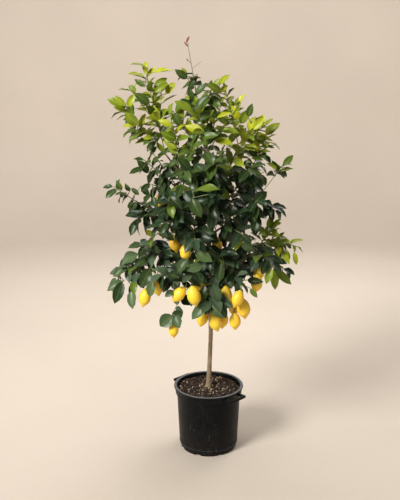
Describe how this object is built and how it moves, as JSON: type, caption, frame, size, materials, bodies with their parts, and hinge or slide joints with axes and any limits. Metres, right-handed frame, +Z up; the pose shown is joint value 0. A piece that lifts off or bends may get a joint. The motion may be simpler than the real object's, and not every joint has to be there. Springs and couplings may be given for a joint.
{
  "type": "potted lemon tree",
  "caption": "Young lemon tree with a bare stem, a leafy fruiting head and ripe lemons, standing in a round black nursery container with grip handles.",
  "frame": {"origin": "centre of the underside of the container, on the surface it stands on", "axes": "+Z up, -Y towards the viewer of the picture, +X to the right of the picture; the front grip is at -45 degrees from +X"},
  "size_m": [0.8977, 0.6878, 1.9009],
  "materials": {
    "pot_plastic": "satin",
    "potting_mix": "matte",
    "bark": "matte",
    "leaf_mature": "satin",
    "leaf_young": "satin",
    "lemon_peel": "satin"
  },
  "bodies": {
    "root": {"pot": "pot_plastic", "soil": "potting_mix", "wood": "bark", "spray_lower_left_a": "leaf_mature", "spray_lower_left_c": "leaf_mature", "spray_lower_left_d": "leaf_mature", "spray_lower_front_left_a": "leaf_mature", "spray_lower_front_left_b": "leaf_mature", "spray_lower_front_a": "leaf_mature", "spray_lower_front_right_a": "leaf_mature", "spray_lower_right_a": "leaf_mature", "spray_lower_right_b": "leaf_mature", "spray_right_a": "leaf_young", "spray_right_b": "leaf_mature", "spray_lower_back_left_a": "leaf_mature", "spray_lower_back_a": "leaf_mature", "spray_lower_back_right_a": "leaf_mature", "spray_mid_left_a": "leaf_mature", "spray_mid_left_c": "leaf_mature", "spray_mid_front_left_a": "leaf_mature", "spray_mid_front_left_b": "leaf_mature", "spray_mid_front_a": "leaf_mature", "spray_mid_front_b": "leaf_mature", "spray_mid_right_a": "leaf_mature", "spray_mid_right_c": "leaf_mature", "spray_mid_back_left_a": "leaf_mature", "spray_mid_back_right_a": "leaf_mature", "spray_mid_back_right_b": "leaf_mature", "spray_high_left_a": "leaf_mature", "spray_high_front_a": "leaf_mature", "spray_high_right_a": "leaf_mature", "spray_high_back_a": "leaf_mature", "spray_upper_left_a": "leaf_young", "spray_upper_left_c": "leaf_young", "spray_upper_right_a": "leaf_young", "spray_upper_right_c": "leaf_young", "spray_upper_front_a": "leaf_young", "spray_upper_back_a": "leaf_young", "spray_leader": "leaf_mature", "lemon_01": "lemon_peel", "lemon_02": "lemon_peel", "lemon_03": "lemon_peel", "lemon_04": "lemon_peel", "lemon_05": "lemon_peel", "lemon_06": "lemon_peel", "lemon_07": "lemon_peel", "lemon_08": "lemon_peel", "lemon_09": "lemon_peel", "lemon_10": "lemon_peel", "lemon_11": "lemon_peel", "lemon_12": "lemon_peel", "lemon_13": "lemon_peel", "lemon_14": "lemon_peel", "lemon_15": "lemon_peel", "lemon_16": "lemon_peel", "lemon_17": "lemon_peel", "lemon_18": "lemon_peel", "lemon_19": "lemon_peel", "lemon_20": "lemon_peel"}
  },
  "joints": []
}
